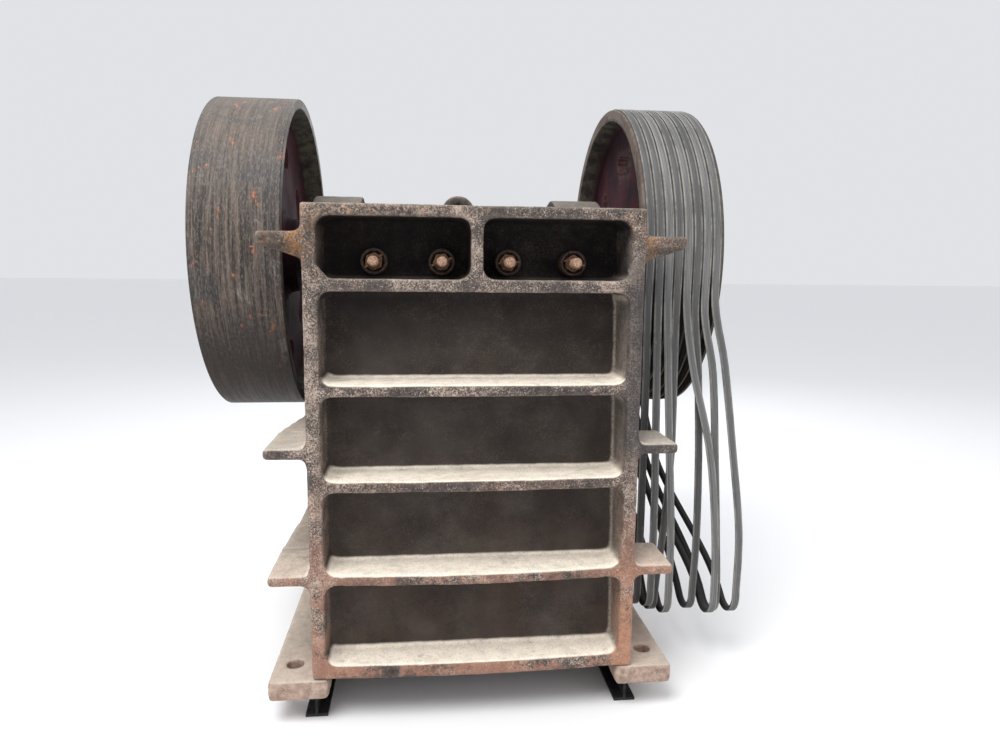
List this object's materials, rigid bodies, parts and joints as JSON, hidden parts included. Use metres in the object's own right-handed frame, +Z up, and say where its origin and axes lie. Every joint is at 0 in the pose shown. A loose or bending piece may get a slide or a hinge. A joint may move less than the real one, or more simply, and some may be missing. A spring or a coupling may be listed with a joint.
{
  "type": "jaw crusher",
  "caption": "Single toggle jaw crusher: ribbed cast frame with feet, spinning shaft with flywheel and grooved pulley, hanging belts and toothed jaws that work together.",
  "frame": {"origin": "on the ground under the middle of the machine's overall box", "axes": "X along the shaft towards the belt pulley, Y from the ribbed front wall to the back, Z up"},
  "size_m": [2.1966, 1.5828, 2.325],
  "materials": {
    "frame_casting": "weathered sand-cast steel, charcoal and beige-brown with orange rust",
    "bearing_casting": "weathered grey-brown casting",
    "dark_casting": "dark oily casting",
    "manganese": "worn manganese steel, burnished on the teeth",
    "rusty_steel": "orange-brown rusted bolt steel",
    "wheel_rim": "dark turned rim with streaks, remains of dark red paint on the web",
    "pulley_iron": "dusty grey grooved rim, remains of dark red paint on the web",
    "shaft_steel": "turned steel, dulled and greasy",
    "belt": "dusty dark grey rubber",
    "beam_steel": "dark worn paint on rolled steel"
  },
  "bodies": {
    "frame": {"front_wall": "frame_casting", "side_wall_left": "frame_casting", "side_wall_right": "frame_casting", "back_wall": "frame_casting", "foot_left": "frame_casting", "foot_right": "frame_casting", "beam_left": "beam_steel", "beam_right": "beam_steel", "bearing_base_left": "bearing_casting", "bearing_base_right": "bearing_casting", "bearing_cap_left": "bearing_casting", "bearing_cap_right": "bearing_casting", "fixed_jaw": "manganese", "jaw_clamp_bar": "manganese", "cheek_plate_left": "manganese", "cheek_plate_right": "manganese", "clamp_bolt_1": "rusty_steel", "clamp_bolt_2": "rusty_steel", "clamp_bolt_3": "rusty_steel", "clamp_bolt_4": "rusty_steel", "clamp_cups": "dark_casting", "clamp_nuts": "rusty_steel", "toggle_plate": "dark_casting", "toggle_seat": "dark_casting", "adjusting_wedge": "dark_casting", "tension_rod": "rusty_steel", "tension_spring": "rusty_steel", "rod_nut": "rusty_steel", "belt_1": "belt", "belt_2": "belt", "belt_3": "belt", "belt_4": "belt", "belt_5": "belt", "belt_6": "belt", "belt_7": "belt", "belt_8": "belt"},
    "rotor": {"shaft": "shaft_steel", "flywheel": "wheel_rim", "belt_pulley": "pulley_iron", "lock_disc_left": "shaft_steel", "lock_disc_right": "shaft_steel"},
    "jaw": {"swing_jaw": "dark_casting", "swing_jaw_plate": "manganese", "swing_clamp_bar": "dark_casting"}
  },
  "joints": [
    {"name": "shaft_spin", "type": "hinge", "parent": "frame", "child": "rotor", "pos_m": [0, 0.1375, 1.671], "axis": [1, 0, 0], "continuous": true},
    {"name": "jaw_follow", "type": "hinge", "parent": "rotor", "child": "jaw", "pos_m": [0, 0.1375, 1.657], "axis": [1, 0, 0], "continuous": true}
  ],
  "couplings": [
    {"joint": "jaw_follow", "follows": "shaft_spin", "ratio": -1}
  ]
}
